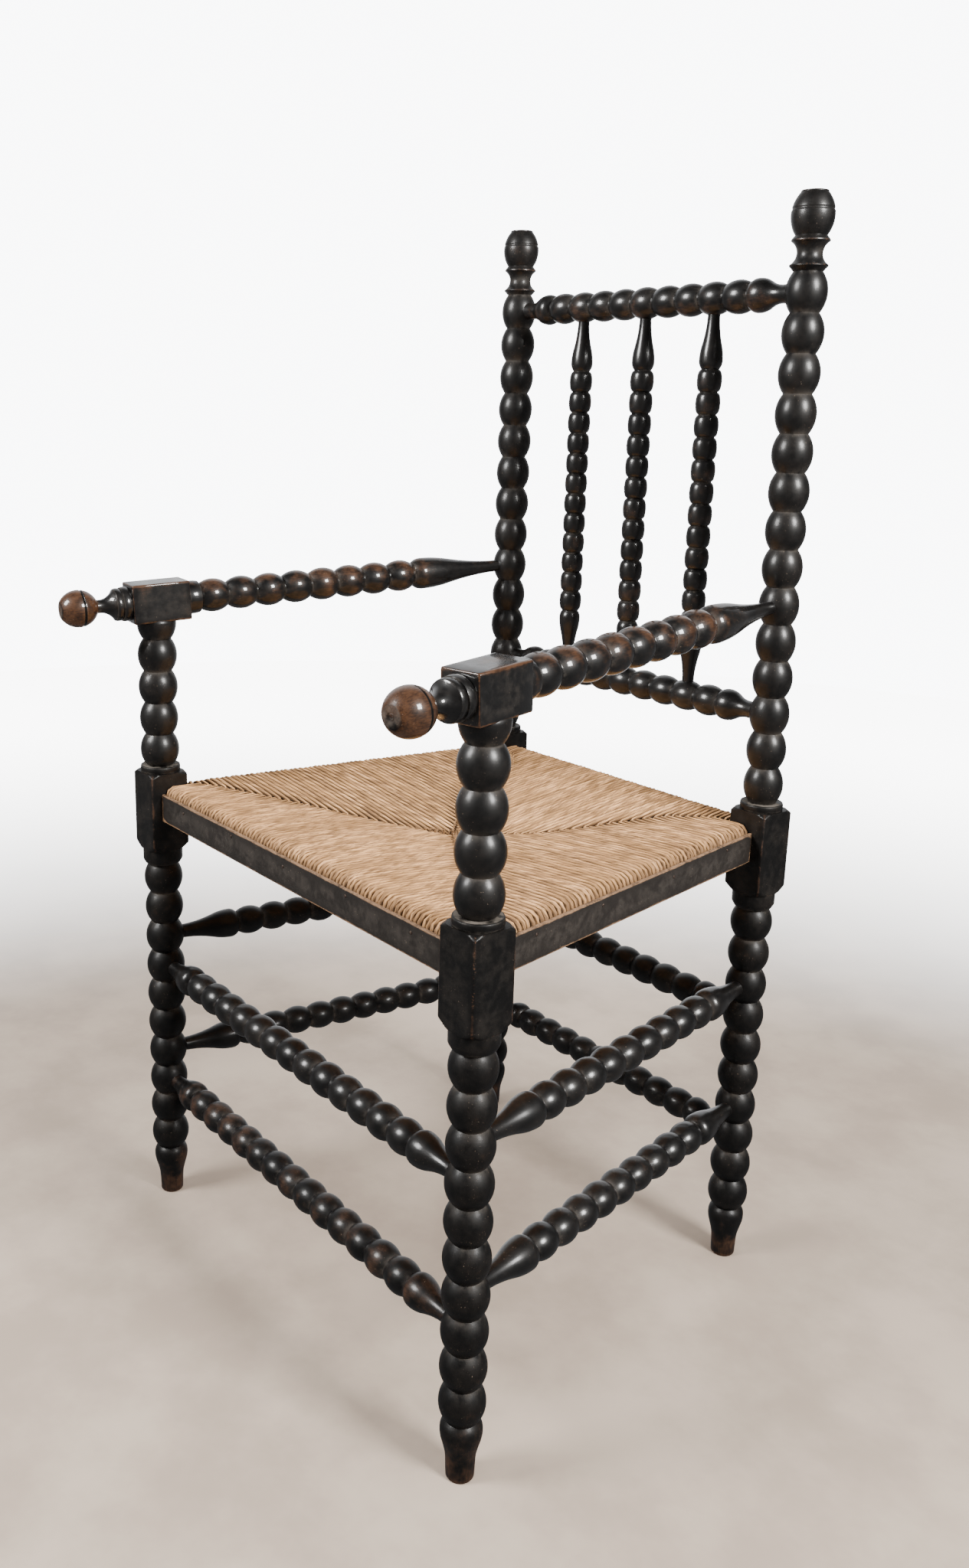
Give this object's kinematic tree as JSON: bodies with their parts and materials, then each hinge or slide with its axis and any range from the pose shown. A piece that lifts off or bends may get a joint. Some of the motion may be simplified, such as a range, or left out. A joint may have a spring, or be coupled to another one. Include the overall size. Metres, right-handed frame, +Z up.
{
  "type": "bobbin armchair",
  "caption": "Open armchair of ebonised bobbin-turned wood: beaded posts with finials, beaded rails, spindles, arms and stretchers, and a dished rush seat edged with flat strips.",
  "frame": {"origin": "on the floor, below the middle of the chair's width and of its depth from arm balls to back posts", "axes": "+Z up, -Y towards the front, +X to the right as seen from the front with +Y pointing away"},
  "size_m": [0.5882, 0.55, 1.0832],
  "materials": {
    "ebonised_wood": "satin black-brown stain, worn to red-brown on crowns and corners",
    "bare_wood": "unfinished, hidden in the rush",
    "rush": "dry twisted rush, matt"
  },
  "bodies": {
    "root": {"front_post_left": "ebonised_wood", "front_post_right": "ebonised_wood", "back_post_left": "ebonised_wood", "back_post_right": "ebonised_wood", "top_rail": "ebonised_wood", "lower_rail": "ebonised_wood", "spindle_left": "ebonised_wood", "spindle_middle": "ebonised_wood", "spindle_right": "ebonised_wood", "arm_left": "ebonised_wood", "arm_right": "ebonised_wood", "stretcher_front_upper": "ebonised_wood", "stretcher_front_lower": "ebonised_wood", "stretcher_back_upper": "ebonised_wood", "stretcher_back_lower": "ebonised_wood", "stretcher_left_upper": "ebonised_wood", "stretcher_left_lower": "ebonised_wood", "stretcher_right_upper": "ebonised_wood", "stretcher_right_lower": "ebonised_wood", "strip_front": "ebonised_wood", "strip_back": "ebonised_wood", "strip_left": "ebonised_wood", "strip_right": "ebonised_wood", "seat_rail_front": "bare_wood", "seat_rail_back": "bare_wood", "seat_rail_left": "bare_wood", "seat_rail_right": "bare_wood", "rush_seat": "rush"}
  },
  "joints": []
}
